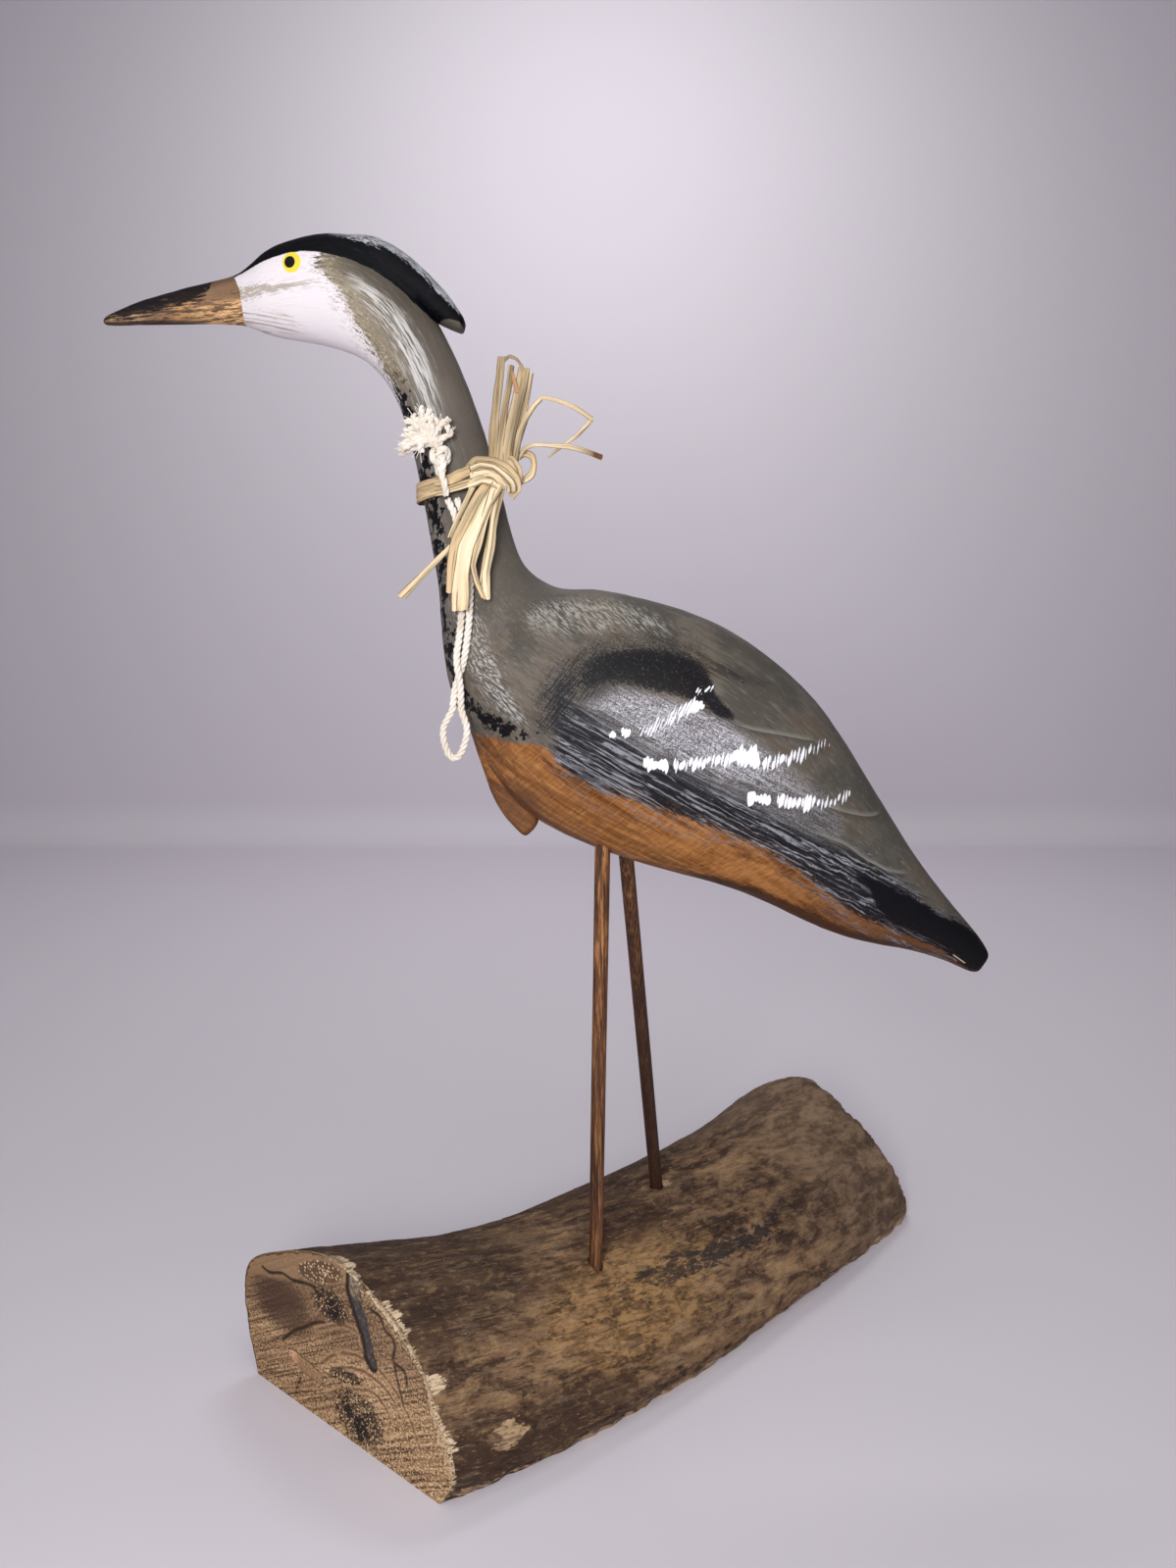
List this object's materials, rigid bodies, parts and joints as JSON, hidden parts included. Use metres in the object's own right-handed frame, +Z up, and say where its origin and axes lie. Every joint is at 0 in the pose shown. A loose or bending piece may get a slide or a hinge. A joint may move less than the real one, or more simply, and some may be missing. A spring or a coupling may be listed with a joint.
{
  "type": "heron carving",
  "caption": "Painted wooden heron on slim dowel legs set in a weathered driftwood log, with a dried-fibre tie and white cotton cord round the neck.",
  "frame": {"origin": "middle of the driftwood log's flat underside", "axes": "+Z up, the bird's beak points to -X, +Y is the bird's right flank, which faces away from the picture"},
  "size_m": [0.3119, 0.2522, 0.402],
  "materials": {
    "painted_wood": "brushed acrylic paint over wood, satin varnish",
    "stained_dowel": "stained dowel, satin",
    "driftwood": "weathered grain, matte",
    "dried_fibre": "dried palm fibre, slight sheen",
    "white_cotton": "plied cotton cord, matte"
  },
  "bodies": {
    "root": {"heron_body": "painted_wood", "near_leg": "stained_dowel", "far_leg": "stained_dowel", "driftwood_base": "driftwood", "raffia_tie": "dried_fibre", "cord_knot": "white_cotton", "cord_loop": "white_cotton"}
  },
  "joints": []
}
